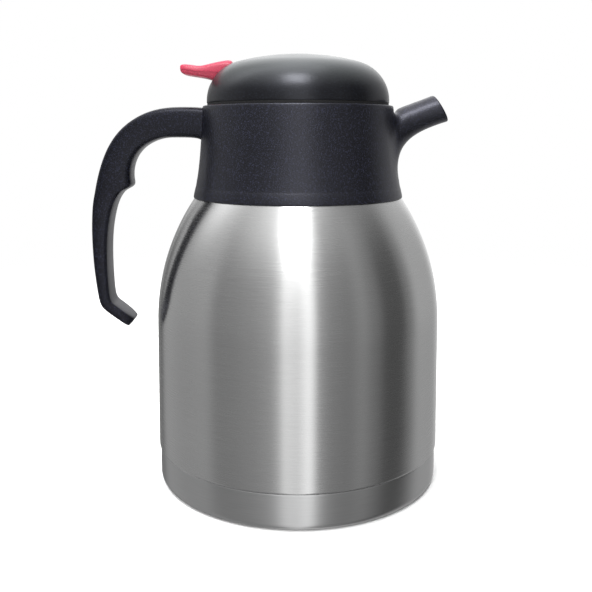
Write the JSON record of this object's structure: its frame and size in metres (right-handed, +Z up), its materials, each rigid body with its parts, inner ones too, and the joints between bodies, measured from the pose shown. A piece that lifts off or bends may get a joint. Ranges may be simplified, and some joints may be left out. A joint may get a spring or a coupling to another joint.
{
  "type": "insulated serving jug",
  "caption": "Double-walled brushed steel serving jug with a black collar, open C handle, short pouring spout and a screw-in domed stopper with a press lever and sprung valve.",
  "frame": {"origin": "centre of the flat underside that the jug stands on", "axes": "+Z up along the jug's axis, +X towards the spout, -X towards the handle"},
  "size_m": [0.1878, 0.147, 0.2213],
  "materials": {
    "brushed_shell": "brushed round the axis, clear satin",
    "brushed_base": "brushed round the axis, a little duller",
    "liner_steel": "plain drawn sheet",
    "solder_glass": "opaque grey fused bead",
    "getter_metal": "dull pressed pellet",
    "pad_rubber": "matt, fine grain",
    "black_collar": "fine moulded grain",
    "black_handle": "fine moulded grain",
    "black_cover": "smooth satin",
    "screw_steel": "bright zinc",
    "insert_brass": "turned",
    "silicone": "translucent grey silicone",
    "stopper_plastic": "moulded, smooth",
    "black_rubber": "matt",
    "pin_steel": "turned and polished",
    "dome_plastic": "semi-gloss moulding",
    "lever_red": "semi-gloss moulding",
    "spring_steel": "drawn wire"
  },
  "bodies": {
    "jug": {"outer_shell": "brushed_shell", "liner_shoulder": "liner_steel", "liner_wall": "liner_steel", "liner_floor": "liner_steel", "vacuum_base": "liner_steel", "pump_plug": "solder_glass", "getter": "getter_metal", "base_cup": "brushed_base", "base_pad": "pad_rubber", "collar": "black_collar", "neck_gasket": "silicone", "handle_shell": "black_handle", "handle_cover": "black_cover", "handle_screws": "screw_steel", "handle_inserts": "insert_brass"},
    "seal": {"stopper_seal": "silicone"},
    "stopper": {"stopper_foot": "stopper_plastic", "stopper_tube": "stopper_plastic", "stopper_cage": "stopper_plastic", "stopper_cap": "stopper_plastic", "stem_guide": "silicone", "rim_gasket": "black_rubber", "lever_carrier": "stopper_plastic", "lid_screws": "screw_steel", "lever_pin": "pin_steel", "lid_dome": "dome_plastic"},
    "lever": {"lever": "lever_red"},
    "valve": {"valve_stem": "pin_steel", "stem_clip": "spring_steel", "valve_washer": "silicone", "valve_plug": "stopper_plastic", "valve_spring": "spring_steel"}
  },
  "joints": [
    {"name": "stopper_lift", "type": "slide", "parent": "jug", "child": "seal", "axis": [0, 0, 1], "range_m": [0, 0.06]},
    {"name": "stopper_turn", "type": "hinge", "parent": "seal", "child": "stopper", "pos_m": [0, 0, 0.16], "axis": [0, 0, 1], "range_deg": [0, 1440]},
    {"name": "lever_press", "type": "hinge", "parent": "stopper", "child": "lever", "pos_m": [-0.032, 0, 0.207], "axis": [0, -1, 0], "range_deg": [0, 10]},
    {"name": "valve_lift", "type": "slide", "parent": "stopper", "child": "valve", "axis": [0, 0, 1], "range_m": [0, 0.0063], "stiffness_N_per_m": 400, "springref_m": -0.01, "deforming": ["valve_spring"]}
  ],
  "couplings": [
    {"joint": "stopper_lift", "follows": "stopper_turn", "m_per_rad": 0.0023873},
    {"joint": "lever_press", "follows": "valve_lift", "rad_per_m": 27.62}
  ]
}
